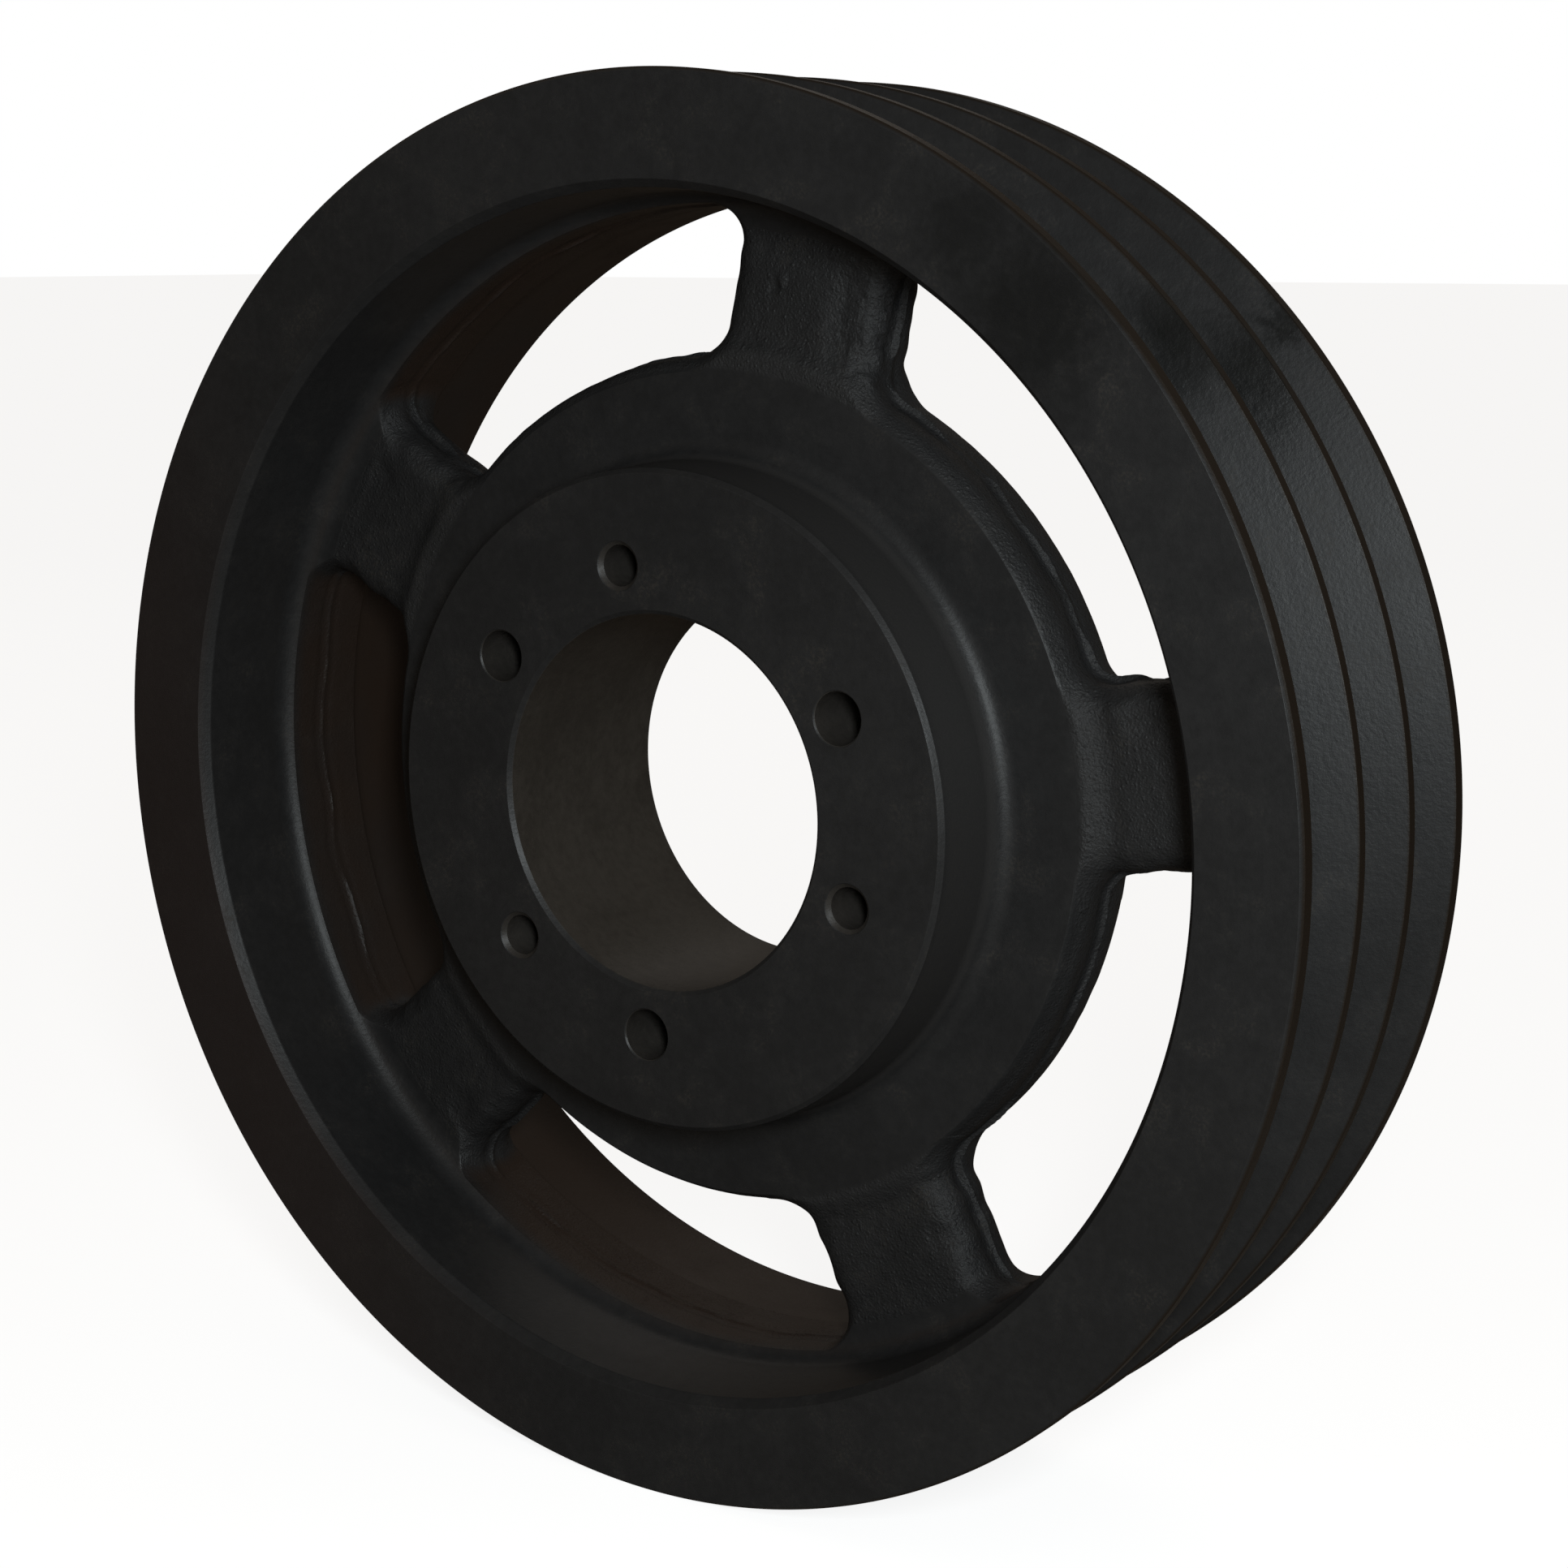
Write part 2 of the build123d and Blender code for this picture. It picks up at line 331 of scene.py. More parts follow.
def finish_surface(obj, sharp_degrees=38.0):
    """Smooth shading that keeps flats flat and true edges sharp."""
    obj.data.polygons.foreach_set("use_smooth", [True] * len(obj.data.polygons))
    obj.data.set_sharp_from_angle(angle=math.radians(sharp_degrees))
    weighted = obj.modifiers.new("weighted", "WEIGHTED_NORMAL")
    weighted.keep_sharp = True
    weighted.mode = "FACE_AREA"
    apply_modifiers(obj)


def rounded(corners, arc_degrees=9.0, steps=()):
    """A closed (r, y) profile. Each corner is (r, y, radius); steps gives the longest run after a corner."""
    steps = dict(steps)
    count = len(corners)
    ends = []
    for i, (r, y, radius) in enumerate(corners):
        here = np.array((r, y), float)
        if radius == 0:
            ends.append([here])
            continue
        before = np.array(corners[i - 1][:2], float) - here
        after = np.array(corners[(i + 1) % count][:2], float) - here
        before /= np.linalg.norm(before)
        after /= np.linalg.norm(after)
        half = math.acos(np.clip(before @ after, -1, 1)) / 2
        back = radius / math.tan(half)
        middle = before + after
        middle /= np.linalg.norm(middle)
        centre = here + middle * (radius / math.sin(half))
        start = here + before * back - centre
        turn = math.pi - 2 * half
        finish = here + after * back - centre
        side = math.copysign(1, start[0] * finish[1] - start[1] * finish[0])
        pieces = max(2, math.ceil(math.degrees(turn) / arc_degrees))
        arc = []
        for k in range(pieces + 1):
            a = side * turn * k / pieces
            swung_r = start[0] * math.cos(a) - start[1] * math.sin(a)
            swung_y = start[0] * math.sin(a) + start[1] * math.cos(a)
            arc.append(centre + (swung_r, swung_y))
        ends.append(arc)
    profile = []
    for i, arc in enumerate(ends):
        profile.extend(arc)
        if i in steps:
            onward = ends[(i + 1) % count][0]
            gap = np.linalg.norm(onward - arc[-1])
            pieces = max(1, math.ceil(gap / steps[i]))
            profile.extend(arc[-1] + (onward - arc[-1]) * k / pieces for k in range(1, pieces))
    return np.array(profile)


def spin(profile, segments=SEGMENTS):
    """Turns a closed profile about Y. The profile runs anticlockwise with r across and y up."""
    turn = 2 * math.pi * np.arange(segments) / segments
    r, y = profile[:, :1], profile[:, 1:]
    points = np.stack([r * np.cos(turn), y + 0 * turn, r * np.sin(turn)], axis=-1)
    i, j = np.meshgrid(np.arange(len(profile)), np.arange(segments), indexing="ij")
    i_next, j_next = (i + 1) % len(profile), (j + 1) % segments
    corners = [i * segments + j, i_next * segments + j, i_next * segments + j_next, i * segments + j_next]
    return points, np.stack(corners, axis=-1).reshape(-1, 4)


def cast_spin(name, profile):
    """A turned piece whose as-cast zones carry the mould's unevenness."""
    points, faces = spin(profile)
    along = np.roll(profile, -1, 0) - np.roll(profile, 1, 0)
    out_r, out_y = along[:, 1], -along[:, 0]
    size = np.hypot(out_r, out_y)
    turn = 2 * math.pi * np.arange(SEGMENTS) / SEGMENTS
    out_r, out_y = (out_r / size)[:, None], (out_y / size)[:, None]
    normal = np.stack([out_r * np.cos(turn), out_y + 0 * turn, out_r * np.sin(turn)], axis=-1)
    flat = points.reshape(-1, 3)
    moved = flat + normal.reshape(-1, 3) * skin(flat)[:, None]
    obj = new_object(name, moved, faces)
    finish_surface(obj)
    return obj


def surface_net(values, origin, step):
    """Closed quads on the zero level of a grid of distances, facing the positive side."""
    inside = values < 0
    cells = tuple(n - 1 for n in values.shape)
    total = np.zeros((3, np.prod(cells)))
    count = np.zeros(np.prod(cells))
    quads = []
    for axis in range(3):
        low = [slice(None)] * 3
        high = [slice(None)] * 3
        low[axis], high[axis] = slice(0, -1), slice(1, None)
        low, high = tuple(low), tuple(high)
        crossing = inside[low] != inside[high]
        at = np.argwhere(crossing)
        a, b = values[low][crossing], values[high][crossing]
        place = at.astype(float)
        place[:, axis] += a / (a - b)
        second, third = (axis + 1) % 3, (axis + 2) % 3
        around = []
        for d2, d3 in ((0, 0), (1, 0), (1, 1), (0, 1)):
            cell = at.copy()
            cell[:, second] -= d2
            cell[:, third] -= d3
            number = np.ravel_multi_index(cell.T, cells)
            around.append(number)
            count += np.bincount(number, minlength=len(count))
            for k in range(3):
                total[k] += np.bincount(number, weights=place[:, k], minlength=len(count))
        ring = np.column_stack(around)
        solid_low = inside[low][crossing]
        quads.append(np.where(solid_low[:, None], ring, ring[:, ::-1]))
    used = np.flatnonzero(count)
    index = np.full(len(count), -1)
    index[used] = np.arange(len(used))
    points = (total[:, used] / count[used]).T * step + origin
    return points, index[np.concatenate(quads)]


# The box that an arm is worked out in: distance out, along the axis, across
ARM_BOX = ((121.0, -30.5, -47.0), (205.0, 30.5, 47.0))
SKIN_ZONE = 4.0  # the skin is only worked out this near the surface
NUDGE = 0.1
SETTLE_STEPS = 3
LONGEST_STEP = 0.3
LEAST_SLOPE = 0.3


def arm_piece(index):
    low, high = (np.array(corner) for corner in ARM_BOX)
    axes = [np.arange(a, b, ARM_GRID) for a, b in zip(low, high)]
    s, y, w = (g.ravel() for g in np.meshgrid(*axes, indexing="ij"))
    values = arm_field(index, s, y, w, with_skin=False)
    near = np.abs(values) < SKIN_ZONE
    values[near] = arm_field(index, s[near], y[near], w[near])
    points, faces = surface_net(values.reshape([len(a) for a in axes]), low, ARM_GRID)
    slope = np.zeros_like(points)
    for k in range(3):
        nudge = np.zeros(3)
        nudge[k] = NUDGE
        ahead, behind = (arm_field(index, *(points + sign * nudge).T, with_skin=False) for sign in (1, -1))
        slope[:, k] = (ahead - behind) / (2 * NUDGE)
    for _ in range(SETTLE_STEPS):
        here = arm_field(index, *points.T)
        move = slope * (here / np.maximum((slope**2).sum(1), LEAST_SLOPE))[:, None]
        size = np.linalg.norm(move, axis=1)[:, None]
        points = points - move * np.minimum(1, LONGEST_STEP / np.maximum(size, 1e-9))
    angle = math.radians(ARM_ANGLES[index])
    s, y, w = points.T
    x = s * math.cos(angle) - w * math.sin(angle)
    z = s * math.sin(angle) + w * math.cos(angle)
    turned = np.column_stack([x, y, z])
    obj = new_object(f"arm_{index + 1}_casting", turned, faces)
    finish_surface(obj, 60.0)
    return obj


def rib_profile(front_tip, rear_tip, front_flat, rear_flat):
    """The iron beside a groove. A flat side is a rim face; the other sides slope down to the groove floors."""
    run = GROOVE_DEPTH * math.tan(GROOVE_HALF_ANGLE)
    lean = math.pi / 2 - GROOVE_HALF_ANGLE
    flare = ROOT_ROUND * math.tan(lean / 2)
    root = ROOT_ROUND * 0.999  # a hair under, so that the round ends before the profile does
    corners = []
    if front_flat:
        corners.append((FLOOR_R, front_tip, 0))
        corners.append((OUTER_R - RIM_EDGE, front_tip, RIM_EDGE_ROUND))
        corners.append((OUTER_R, front_tip + RIM_EDGE, RIM_EDGE_ROUND))
    else:
        corners.append((FLOOR_R, front_tip - run - flare, 0))
        corners.append((FLOOR_R, front_tip - run, root))
        corners.append((OUTER_R, front_tip, LAND_ROUND))
    if rear_flat:
        corners.append((OUTER_R, rear_tip - RIM_EDGE, RIM_EDGE_ROUND))
        corners.append((OUTER_R - RIM_EDGE, rear_tip, RIM_EDGE_ROUND))
        corners.append((FLOOR_R, rear_tip, 0))
    else:
        corners.append((OUTER_R, rear_tip, LAND_ROUND))
        corners.append((FLOOR_R, rear_tip + run, root))
        corners.append((FLOOR_R, rear_tip + run + flare, 0))
    return rounded(corners, 12.0)


GROOVES = [-HALF_FACE + EDGE_TO_GROOVE + GROOVE_SPACING * i for i in range(3)]
pieces = {}

rib_tips = {
    "rib_front": (-HALF_FACE, GROOVES[0] - HALF_GROOVE_TOP, True, False),
    "rib_mid_front": (GROOVES[0] + HALF_GROOVE_TOP, GROOVES[1] - HALF_GROOVE_TOP, False, False),
    "rib_mid_rear": (GROOVES[1] + HALF_GROOVE_TOP, GROOVES[2] - HALF_GROOVE_TOP, False, False),
    "rib_rear": (GROOVES[2] + HALF_GROOVE_TOP, HALF_FACE, False, True),
}
for node_name, tips in rib_tips.items():
    points, faces = spin(rib_profile(*tips))
    piece = new_object(f"{node_name}_turned", points.reshape(-1, 3), faces)
    finish_surface(piece)
    pieces[node_name] = piece

# The turned fillet inside the rim, from the bore wall down to the as-cast bead
fillet_end = math.acos((BEAD_R - TOOL_CENTRE_R) / TOOL_ROUND)
fillet_turns = np.linspace(0, fillet_end, 13)
fillet_r = TOOL_CENTRE_R + TOOL_ROUND * np.cos(fillet_turns)
fillet_y = TOOL_CENTRE_Y - TOOL_ROUND * np.sin(fillet_turns)
rear_fillet = [(a, b, 0) for a, b in zip(fillet_r[:-1], fillet_y[:-1])]
front_fillet = [(a, -b, 0) for a, b in zip(fillet_r[-2::-1], fillet_y[-2::-1])]
rim_corners = [
    (MOUTH_R, -HALF_FACE, 0.5),
    (FLOOR_R, -HALF_FACE, 0),
    (FLOOR_R, HALF_FACE, 0),
    (REAR_MOUTH_R, HALF_FACE, 0.6),
    *rear_fillet,
    (BEAD_R, fillet_y[-1], 0.5),
    (BEAD_R, -fillet_y[-1], 0.5),
    *front_fillet,
    (MOUTH_INNER_R, -HALF_FACE + MOUTH_DEPTH, 1.5),
]
bead_start = 4 + len(rear_fillet)
bead_step = 0.5
pieces["rim_band"] = cast_spin("rim_band_turned", rounded(rim_corners, 9.0, {bead_start: bead_step}))

web_start = math.acos((WEB_ROUND - WEB_CAST_HALF + WEB_HALF) / WEB_ROUND)
web_turns = np.linspace(web_start, math.pi / 2, 9)
web_r = WEB_R - WEB_ROUND + WEB_ROUND * np.sin(web_turns)
web_y = WEB_CAST_HALF - WEB_ROUND + WEB_ROUND * np.cos(web_turns)
web_corners = [
    (WEB_SPLIT_R, -WEB_HALF, 0),
    *[(a, -b, 0) for a, b in zip(web_r, web_y)],
    *[(a, b, 0) for a, b in zip(web_r[::-1], web_y[::-1])],
    (WEB_SPLIT_R, WEB_HALF, 0),
]
edge_step = 0.4
face_step = 2.5
web_steps = {k: edge_step for k in range(1, len(web_corners) - 2)}
web_steps[0] = web_steps[len(web_corners) - 2] = face_step
pieces["hub_web"] = cast_spin("hub_web_casting", rounded(web_corners, 6.0, web_steps))


def bore_radius(y):
    return BORE_LARGE_R - (BOSS_REAR_Y - y) * BORE_TAPER


def hub_piece():
    mouth_y = BOSS_FRONT_Y + BORE_MOUTH
    tail_y = BOSS_REAR_Y - BORE_TAIL
    corners = [
        (bore_radius(mouth_y) + BORE_MOUTH, BOSS_FRONT_Y, BORE_EDGE_ROUND),
        (BOSS_FACE_R - BOSS_EDGE, BOSS_FRONT_Y, HUB_EDGE_ROUND),
        (BOSS_FACE_R + BOSS_LEAN, BOSS_FRONT_Y + BOSS_EDGE, HUB_EDGE_ROUND),
        (BOSS_ROOT_R, -WEB_HALF, BOSS_FILLET),
        (WEB_SPLIT_R, -WEB_HALF, 0),
        (WEB_SPLIT_R, WEB_HALF, 0),
        (BOSS_ROOT_R, WEB_HALF, BOSS_FILLET),
        (BOSS_FACE_R + BOSS_LEAN, BOSS_REAR_Y - BOSS_EDGE, HUB_EDGE_ROUND),
        (BOSS_FACE_R - BOSS_EDGE, BOSS_REAR_Y, HUB_EDGE_ROUND),
        (bore_radius(tail_y) + BORE_TAIL, BOSS_REAR_Y, TAIL_EDGE_ROUND),
        (bore_radius(tail_y), tail_y, TAIL_EDGE_ROUND),
        (bore_radius(mouth_y), mouth_y, BORE_EDGE_ROUND),
    ]
    points, faces = spin(rounded(corners, 5.0))
    hub = new_object("hub_boss_turned", points.reshape(-1, 3), faces)
    cutters = [hole_cutter(a, TAPPED_R, TAPPED_MOUTH_R) for a in TAPPED_ANGLES]
    cutters += [hole_cutter(a, CLEARANCE_R, CLEARANCE_MOUTH_R) for a in CLEARANCE_ANGLES]
    for cutter in cutters:
        cut = hub.modifiers.new("hole", "BOOLEAN")
        cut.operation = "DIFFERENCE"
        cut.solver = "EXACT"
        cut.object = cutter
    apply_modifiers(hub)
    for cutter in cutters:
        old = cutter.data
        bpy.data.objects.remove(cutter)
        bpy.data.meshes.remove(old)
    finish_surface(hub, 30.0)
    return hub


def hole_cutter(angle, radius, mouth):
    """The space of one screw hole: a drilled cylinder with a chamfered mouth at each end."""
    depth = mouth - radius
    sections = [(BOSS_FRONT_Y - 1.0, mouth + 1.0), (BOSS_FRONT_Y + depth, radius)]
    sections += [(BOSS_REAR_Y - depth, radius), (BOSS_REAR_Y + 1.0, mouth + 1.0)]
    sides = 72
    turn = 2 * math.pi * np.arange(sides) / sides
    points = [(r * math.cos(a), y, r * math.sin(a)) for y, r in sections for a in turn]
    faces = []
    for k in range(len(sections) - 1):
        for j in range(sides):
            n = (j + 1) % sides
            faces.append((k * sides + j, (k + 1) * sides + j, (k + 1) * sides + n, k * sides + n))
    mesh = bpy.data.meshes.new("cutter")
    last = (len(sections) - 1) * sides
    caps = [tuple(range(sides)), tuple(last + j for j in reversed(range(sides)))]
    at = math.radians(angle)
    centre = np.array((SCREW_CIRCLE_R * math.cos(at), 0, SCREW_CIRCLE_R * math.sin(at)))
    mesh.from_pydata(((np.array(points) + centre) * MM).tolist(), [], faces + caps)
    cutter = bpy.data.objects.new("cutter", mesh)
    bpy.context.scene.collection.objects.link(cutter)
    return cutter


pieces["hub_boss"] = hub_piece()

for i in range(5):
    pieces[f"arm_{i + 1}"] = arm_piece(i)


# ------------------------------------------------------------------ materials
class Tree:
    """Short ways to add shader nodes."""

    def __init__(self, tree):
        self.tree = tree

    def add(self, kind, inputs, output=0, **options):
        node = self.tree.nodes.new(kind)
        for key, value in options.items():
            setattr(node, key, value)
        for key, value in inputs.items():
            if isinstance(value, bpy.types.NodeSocket):
                self.tree.links.new(value, node.inputs[key])
            else:
                node.inputs[key].default_value = value
        return node.outputs[output]

    def math(self, operation, a, b=0.0, c=0.0):
        return self.add("ShaderNodeMath", {0: a, 1: b, 2: c}, operation=operation)

    def ramp(self, value, low, high, to_low=0.0, to_high=1.0):
        inputs = {"Value": value, "From Min": low, "From Max": high, "To Min": to_low, "To Max": to_high}
        return self.add("ShaderNodeMapRange", inputs, interpolation_type="SMOOTHSTEP")

    def band(self, value, span, to_low=0.0, to_high=1.0):
        """A ramp between two places that are given in millimetres."""
        return self.ramp(value, span[0] * MM, span[1] * MM, to_low, to_high)

    def noise(self, vector, scale, detail=3.0, roughness=0.55, distortion=0.0):
        inputs = {"Vector": vector, "Scale": scale, "Detail": detail}
        inputs.update({"Roughness": roughness, "Distortion": distortion})
        return self.add("ShaderNodeTexNoise", inputs)

    def weigh(self, *terms):
        """A weighted sum of patterns, each taken about its middle."""
        total = 0.0
        for value, weight in terms:
            total = self.math("ADD", total, self.math("MULTIPLY", self.math("SUBTRACT", value, 0.5), weight))
        return total

    def mix(self, factor, a, b):
        return self.add("ShaderNodeMix", {0: factor, 2: a, 3: b}, output=0)

    def mix_colour(self, factor, a, b):
        return self.add("ShaderNodeMix", {0: factor, 6: a, 7: b}, output=2, data_type="RGBA")

    def bump(self, height, distance, normal=None):
        inputs = {"Height": height, "Distance": distance, "Strength": 1.0}
        if normal is not None:
            inputs["Normal"] = normal
        return self.add("ShaderNodeBump", inputs)


# Linear colours
ENAMEL_DARK = (0.0205, 0.0202, 0.0206, 1)
ENAMEL_LIGHT = (0.0300, 0.0294, 0.0298, 1)
DUST = (0.055, 0.048, 0.040, 1)
# Painted warm shade for the low left of the rim's front face
LOW_LEFT_PAINTED_SHADE = (0.0345, 0.0235, 0.0210, 1)
# The iron's own browner tint with painted warm shade, inside the rim
INSIDE_BROWN_AND_SHADE = (0.0310, 0.0192, 0.0135, 1)
# Dust with painted light, for the web's rounded edge
WEB_EDGE_DUST_AND_PAINTED_LIGHT = (0.040, 0.039, 0.039, 1)
IRON_DARK = (0.040, 0.0345, 0.029, 1)
IRON_LIGHT = (0.066, 0.057, 0.048, 1)
# Painted light, lifting the side of the boss
BOSS_SIDE_PAINTED_LIGHT = (0.042, 0.040, 0.039, 1)
LAND_GRIME = (0.017, 0.0115, 0.0075, 1)
# Dark smudges, partly oily and partly a painted reflection of a dark object
OIL_AND_DARK_REFLECTION = (0.0085, 0.0088, 0.0085, 1)

# Where the enamel's zones start and end, in millimetres
# The low left of the rim's front face, where warm shade is painted
LOW_LEFT_BAND = (100.0, 220.0)
RIM_FACE_BAND = (200.0, 202.0)
# Inside the rim, from a little in front of the middle to the rear, where the iron is browner and warm shade is
# painted
INSIDE_BAND = (192.5, 195.0)
DEEP_BAND = (-19.0, -10.0)
# The rounded edge of the web, lightened by dust and by painted light
WEB_LIFT_IN = (140.2, 142.5)
WEB_LIFT_OUT = (146.0, 150.0)
# The bore behind its mouth
BORE_DEPTH_BAND = (-47.1, -46.5)
BORE_BAND = (66.2, 66.8)
# The screw holes
HOLE_MARGIN = 0.3  # bare iron stops this far inside a hole's mouth
HOLE_BARENESS = 0.55
# The side of the boss, and the lands
BOSS_SIDE_IN = (110.3, 110.7)
BOSS_SIDE_OUT = (112.1, 114.0)
LAND_BAND = (235.2, 236.0)

# Where the enamel is darker, partly oily and partly a painted reflection of a dark object: x, y, z, reach and
# strength
SMUDGES = (
    (149.0, -58.7, 164.0, 32.0, 0.6),
    (122.0, -58.7, 184.0, 20.0, 0.4),
    (176.0, -27.0, 157.0, 27.0, 0.9),
    (185.0, 9.0, 146.0, 29.0, 0.9),
    (172.0, 46.0, 160.0, 13.0, 0.9),
)


def enamel(name, has_cast_skin):
    """Black enamel on iron: turned where the tool went, sand-cast elsewhere."""
    material = bpy.data.materials.new(name)
    material.use_nodes = True
    tree = material.node_tree
    tree.nodes.clear()
    t = Tree(tree)
    place = t.add("ShaderNodeTexCoord", {}, output="Object")
    parts = tree.nodes.new("ShaderNodeSeparateXYZ")
    tree.links.new(place, parts.inputs[0])
    x, y, z = parts.outputs
    r = t.math("SQRT", t.math("ADD", t.math("MULTIPLY", x, x), t.math("MULTIPLY", z, z)))
    away = t.math("ABSOLUTE", y)

    # Where the skin is as cast
    if has_cast_skin:
        q_r = t.math("SUBTRACT", r, TOOL_CENTRE_R * MM)
        q_y = t.math("SUBTRACT", TOOL_CENTRE_Y * MM, away)
        out_r, out_y = t.math("MAXIMUM", q_r, 0.0), t.math("MAXIMUM", q_y, 0.0)
        span = t.math("SQRT", t.math("ADD", t.math("MULTIPLY", out_r, out_r), t.math("MULTIPLY", out_y, out_y)))
        tool = t.math("SUBTRACT", span, TOOL_ROUND * MM)
        bored = t.math("GREATER_THAN", away, TOOL_CENTRE_Y * MM)
        bored = t.math("MAXIMUM", bored, t.band(tool, TURNED_BAND, 1.0, 0.0))
        turned = t.math("MULTIPLY", t.band(r, TURNED_FROM), bored)
        past_web = t.band(r, (WEB_EDGE_R - 0.3, WEB_EDGE_R + 2.4))
        cast = t.math("MULTIPLY", past_web, t.band(r, MOUTH_BAND, 1.0, 0.0))
        cast = t.math("MULTIPLY", cast, t.math("SUBTRACT", 1.0, turned))

    # Colour: near-black enamel, a little browner and dustier in patches
    cloud = t.noise(place, 9.0, 4.0, 0.6)
    patch = t.noise(place, 55.0, 5.0, 0.65, 0.4)
    fleck = t.noise(place, 900.0, 2.0, 0.5)
    mottle = t.noise(place, 320.0, 3.0, 0.6)
    tone = t.math("ADD", t.math("MULTIPLY", cloud, 0.4), t.math("MULTIPLY", patch, 0.3))
    tone = t.ramp(t.math("ADD", tone, t.math("MULTIPLY", mottle, 0.3)), 0.36, 0.66)
    colour = t.mix_colour(tone, ENAMEL_DARK, ENAMEL_LIGHT)
    dust = t.math("MULTIPLY", t.ramp(patch, 0.5, 0.72), t.ramp(fleck, 0.42, 0.7))
    colour = t.mix_colour(t.math("MULTIPLY", dust, 0.5), colour, DUST)
    # The low left of the rim's front face is browner: painted warm shade on the side away from the key light
    low_left = t.math("ADD", t.math("MULTIPLY", x, -0.94), t.math("MULTIPLY", z, -0.34))
    warm_shade = t.math("MULTIPLY", t.band(low_left, LOW_LEFT_BAND), t.band(r, RIM_FACE_BAND))
    colour = t.mix_colour(t.math("MULTIPLY", warm_shade, 0.6), colour, LOW_LEFT_PAINTED_SHADE)
    if has_cast_skin:
        # The inside of the rim is browner: partly the iron's own tint, partly painted warm shade in the recess
        inside = t.math("MULTIPLY", t.band(r, INSIDE_BAND), t.band(y, DEEP_BAND))
        inside = t.math("MULTIPLY", inside, t.ramp(cloud, 0.3, 0.6, 0.45, 1.0))
        colour = t.mix_colour(inside, colour, INSIDE_BROWN_AND_SHADE)
        # The web's rough rounded edge is a little lighter: partly dust, partly painted light standing in for
        # fill from the right
        edge = t.math("MULTIPLY", t.band(r, WEB_LIFT_IN), t.band(r, WEB_LIFT_OUT, 1.0, 0.0))
        colour = t.mix_colour(t.math("MULTIPLY", edge, 0.45), colour, WEB_EDGE_DUST_AND_PAINTED_LIGHT)
    else:
        # The bore and the screw holes are bare oiled iron
        bare = t.math("MULTIPLY", t.band(r, BORE_BAND, 1.0, 0.0), t.band(y, BORE_DEPTH_BAND))
        turn = t.math("ARCTAN2", z, x)
        turn = t.math("SUBTRACT", turn, math.radians(TAPPED_ANGLES[0]))
        turn = t.math("WRAP", turn, math.pi / 3, -math.pi / 3)
        for at, mouth in ((0.0, TAPPED_MOUTH_R), (math.pi / 4, CLEARANCE_MOUTH_R)):
            along = t.math("MULTIPLY", r, t.math("COSINE", t.math("SUBTRACT", turn, at)))
            across = t.math("MULTIPLY", r, t.math("SINE", t.math("SUBTRACT", turn, at)))
            along = t.math("SUBTRACT", along, SCREW_CIRCLE_R * MM)
            gone = t.math("ADD", t.math("MULTIPLY", along, along), t.math("MULTIPLY", across, across))
            hole = t.math("LESS_THAN", t.math("SQRT", gone), (mouth - HOLE_MARGIN) * MM)
            bare = t.math("MAXIMUM", bare, t.math("MULTIPLY", hole, HOLE_BARENESS))
        iron = t.mix_colour(tone, IRON_DARK, IRON_LIGHT)
        colour = t.mix_colour(bare, colour, iron)
        # The side of the boss is a little lighter: painted light standing in for fill from the right
        side = t.math("MULTIPLY", t.band(r, BOSS_SIDE_IN), t.band(r, BOSS_SIDE_OUT, 1.0, 0.0))
        colour = t.mix_colour(side, colour, BOSS_SIDE_PAINTED_LIGHT)
        # The lands are darker and browner
        land = t.band(r, LAND_BAND)
        colour = t.mix_colour(land, colour, LAND_GRIME)

    # Dark smudges: partly oily, partly a painted reflection of a dark object
    oil_and_reflection = 0.0
    for sx, sy, sz, reach, strength in SMUDGES:
        middle = (sx * MM, sy * MM, sz * MM)
        gap = t.add("ShaderNodeVectorMath", {0: place, 1: middle}, operation="DISTANCE", output=1)
        gap = t.math("ADD", gap, t.math("MULTIPLY", t.math("SUBTRACT", patch, 0.5), 0.022))
        gap = t.math("ADD", gap, t.math("MULTIPLY", t.math("SUBTRACT", mottle, 0.5), 0.010))
        oil_and_reflection = t.math("MAXIMUM", oil_and_reflection, t.ramp(gap, 0.15 * reach * MM, 1.1 * reach * MM, strength, 0.0))
    colour = t.mix_colour(oil_and_reflection, colour, OIL_AND_DARK_REFLECTION)

    # Turned zones: fine rings left by the tool, then the paint's own soft texture
    rings_at = t.add("ShaderNodeCombineXYZ", {0: r, 1: y, 2: 0.0})
    rings = t.noise(rings_at, 2600.0, 2.0, 0.6)
    slow_rings = t.noise(rings_at, 260.0, 2.0, 0.5)
    peel = t.noise(place, 620.0, 4.0, 0.65)
    turned_bump = t.weigh((rings, 0.03), (slow_rings, 0.10), (peel, 0.27))
    height = turned_bump
    if has_cast_skin:
        # Sand-cast zones: grains, a few nodules, and soft lumps
        grain = t.noise(place, 1150.0, 3.0, 0.6)
        lumps = t.noise(place, 240.0, 3.0, 0.5, 0.3)
        cells = t.add("ShaderNodeTexVoronoi", {"Vector": place, "Scale": 520.0, "Randomness": 1.0})
        nodules = t.ramp(cells, 0.05, 0.42, 1.0, 0.0)
        rough_bump = t.weigh((grain, 1.1), (lumps, 1.1), (nodules, 0.38))
        rough_bump = t.math("MULTIPLY", rough_bump, t.ramp(r, 0.190, 0.194, 1.0, 0.5))
        height = t.mix(cast, turned_bump, rough_bump)
    normal = t.bump(height, 0.00045)

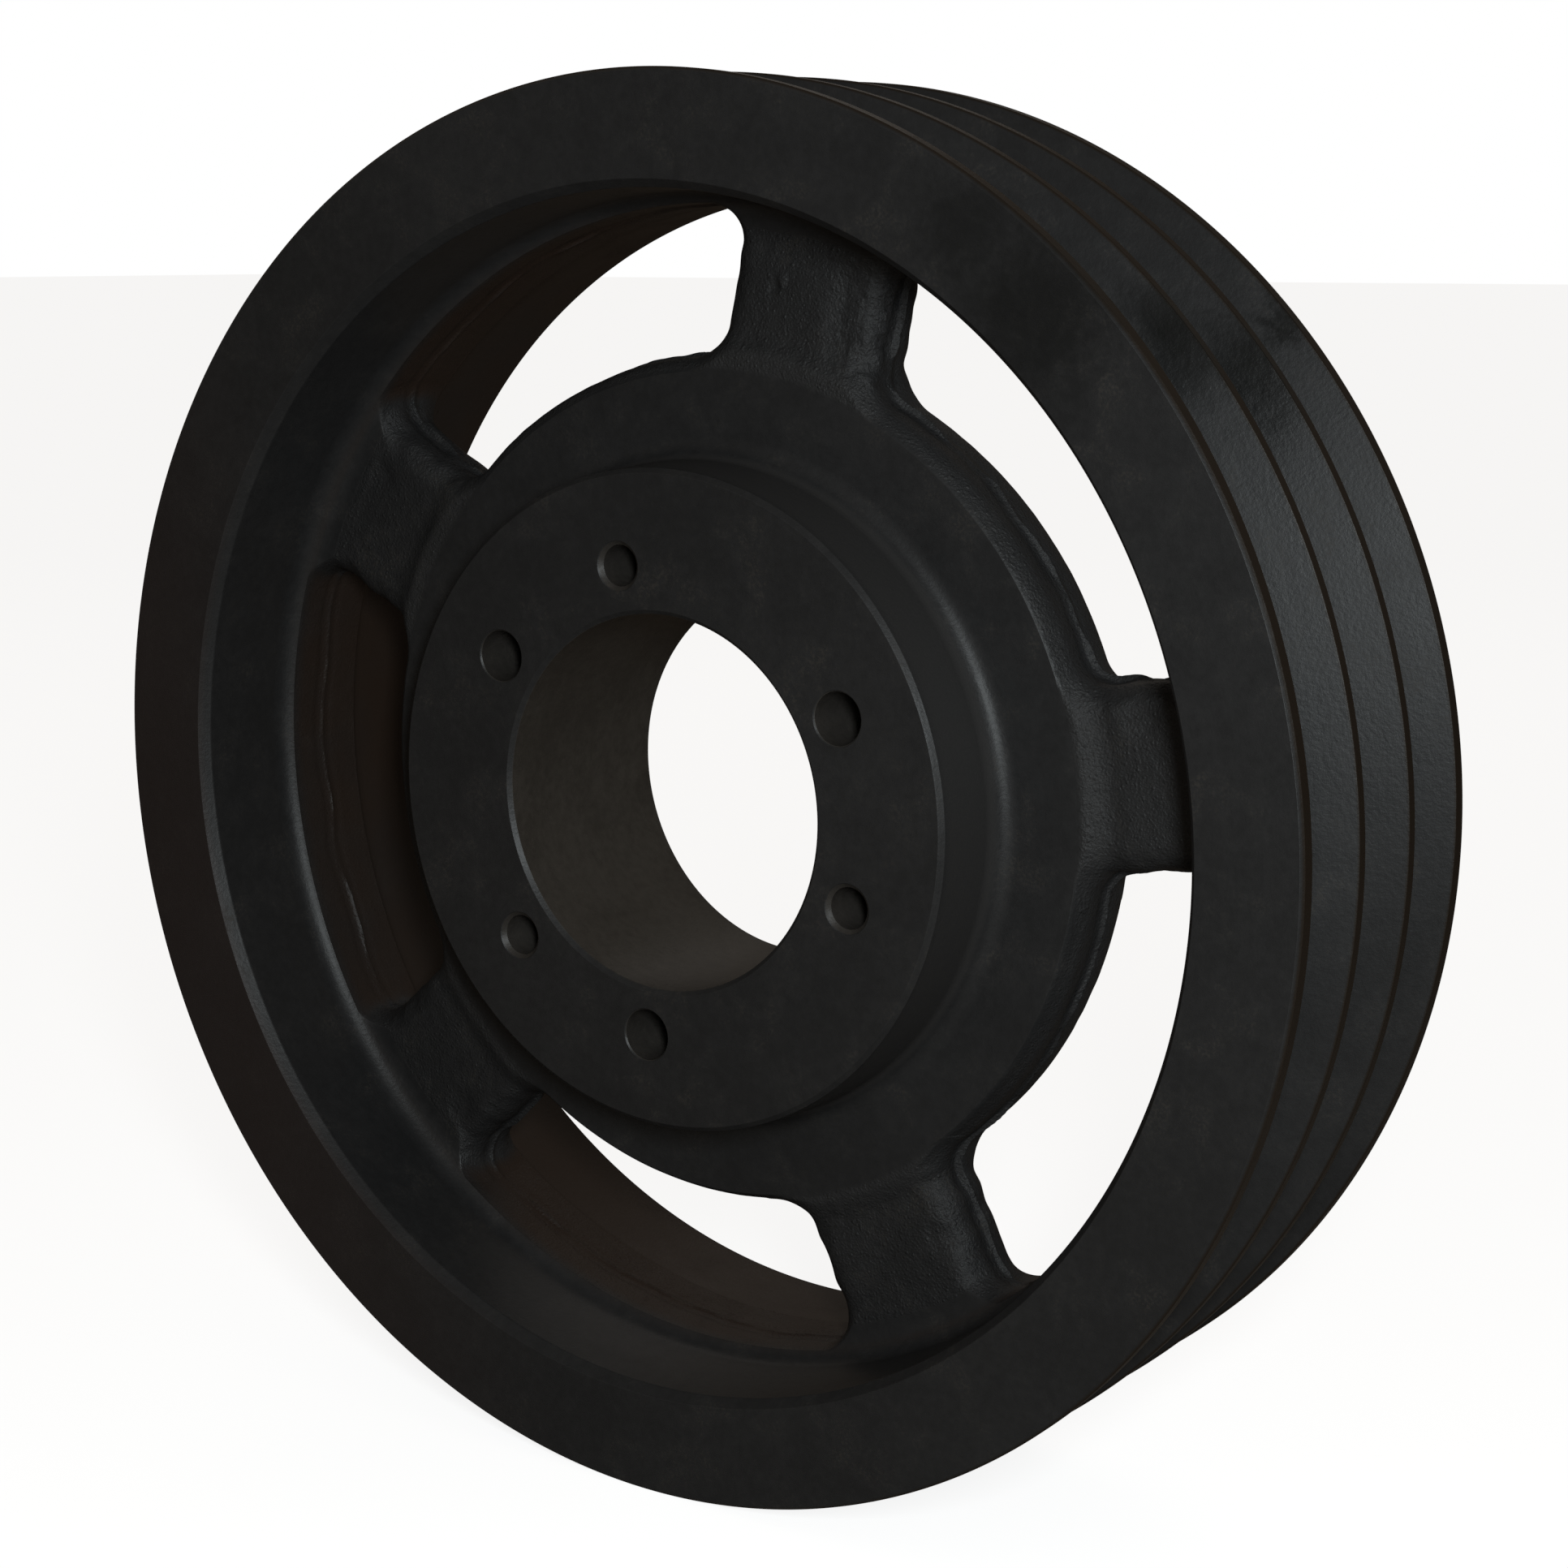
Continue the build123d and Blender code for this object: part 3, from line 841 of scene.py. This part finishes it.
    # The enamel is duller in patches, and glossier in the smudges
    patchy = t.math("ADD", t.math("MULTIPLY", cloud, 0.4), t.math("MULTIPLY", patch, 0.6))
    roughness = t.ramp(patchy, 0.35, 0.68, 0.41, 0.48)
    if has_cast_skin:
        roughness = t.math("ADD", roughness, t.math("MULTIPLY", cast, 0.04))
    roughness = t.math("ADD", roughness, t.math("MULTIPLY", dust, 0.12))
    roughness = t.math("SUBTRACT", roughness, t.math("MULTIPLY", oil_and_reflection, 0.17))

    shader = tree.nodes.new("ShaderNodeBsdfPrincipled")
    tree.links.new(colour, shader.inputs["Base Color"])
    tree.links.new(roughness, shader.inputs["Roughness"])
    tree.links.new(normal, shader.inputs["Normal"])
    shader.inputs["Specular IOR Level"].default_value = 0.33
    output = tree.nodes.new("ShaderNodeOutputMaterial")
    tree.links.new(shader.outputs[0], output.inputs[0])
    return material


cast_enamel = enamel("black_enamel_cast", True)
turned_enamel = enamel("black_enamel_turned", False)

for node_name, piece in pieces.items():
    turned = node_name.startswith("rib") or node_name == "hub_boss"
    piece.data.materials.clear()
    piece.data.materials.append(turned_enamel if turned else cast_enamel)
    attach(piece, "root")
    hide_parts(node_name)


# ------------------------------------------------------------------ floor, light, camera
# The black enamel only reads as in the photograph in dim surroundings, so the floor and the room
# look pale to the camera but light the object as darker ones would.
def split_by_camera(t, lighting, seen):
    """What lights the object, and the plain pale ground that the camera sees."""
    path = t.add("ShaderNodeLightPath", {}, output="Is Camera Ray")
    return t.add("ShaderNodeMixShader", {0: path, 1: lighting, 2: seen})


FLOOR_HALF = 30.0
floor_z = -OUTER_R * MM
corner = [(-1, -1), (1, -1), (1, 1), (-1, 1)]
floor_mesh = bpy.data.meshes.new("floor")
floor_mesh.from_pydata([(FLOOR_HALF * a, FLOOR_HALF * b, floor_z) for a, b in corner], [], [(0, 1, 2, 3)])
floor = bpy.data.objects.new("floor", floor_mesh)
bpy.context.scene.collection.objects.link(floor)
pale = bpy.data.materials.new("pale_floor")
pale.use_nodes = True
pale.node_tree.nodes.clear()
floor_tree = Tree(pale.node_tree)
dull = floor_tree.add("ShaderNodeBsdfDiffuse", {"Color": (0.34, 0.30, 0.26, 1)})
bright = floor_tree.add("ShaderNodeBsdfDiffuse", {"Color": (0.55, 0.55, 0.55, 1)})
glow = floor_tree.add("ShaderNodeEmission", {"Color": (1, 1, 1, 1), "Strength": 0.86})
seen_floor = floor_tree.add("ShaderNodeAddShader", {0: bright, 1: glow})
floor_out = pale.node_tree.nodes.new("ShaderNodeOutputMaterial")
pale.node_tree.links.new(split_by_camera(floor_tree, dull, seen_floor), floor_out.inputs[0])
floor_mesh.materials.append(pale)

world = bpy.data.worlds.new("studio")
bpy.context.scene.world = world
world.use_nodes = True
world.node_tree.nodes.clear()
sky = Tree(world.node_tree)
toward = sky.add("ShaderNodeTexCoord", {}, output="Generated")
way = world.node_tree.nodes.new("ShaderNodeSeparateXYZ")
world.node_tree.links.new(toward, way.inputs[0])
above = sky.ramp(way.outputs[2], -0.6, 0.9, 0.045, 0.12)
fill = sky.add("ShaderNodeBackground", {"Color": (1.0, 0.84, 0.68, 1), "Strength": above})
seen_sky = sky.add("ShaderNodeBackground", {"Color": (1, 1, 1, 1), "Strength": 1.0})
world_out = world.node_tree.nodes.new("ShaderNodeOutputWorld")
world.node_tree.links.new(split_by_camera(sky, fill, seen_sky), world_out.inputs[0])


def soft_box(name, place, size, radiance, colour):
    light = bpy.data.lights.new(name, "AREA")
    light.shape = "RECTANGLE"
    light.size, light.size_y = size
    light.energy = radiance * math.pi * size[0] * size[1]
    light.color = colour
    obj = bpy.data.objects.new(name, light)
    obj.location = place
    obj.rotation_euler = (-Vector(place)).to_track_quat("-Z", "Y").to_euler()
    bpy.context.scene.collection.objects.link(obj)


# Place, width and height, radiance and colour
soft_box("key", (0.670, -0.805, 0.280), (0.10, 0.26), 66.0, (0.90, 0.975, 1.0))
soft_box("back", (-1.1, 1.5, 1.5), (1.2, 1.2), 0.35, (1.0, 0.95, 0.9))

# The camera stands and looks where the photograph's circles put it
VIEW = Vector((-0.5610, 0.8079, -0.1805))
camera = bpy.data.cameras.new("camera")
camera.lens = 67.48
camera.sensor_width = 36.0
camera_object = bpy.data.objects.new("camera", camera)
camera_object.location = (0.5768, -0.8054, 0.1814)
camera_object.rotation_euler = VIEW.to_track_quat("-Z", "Y").to_euler()
bpy.context.scene.collection.objects.link(camera_object)
bpy.context.scene.camera = camera_object
bpy.context.scene.view_settings.view_transform = "Standard"
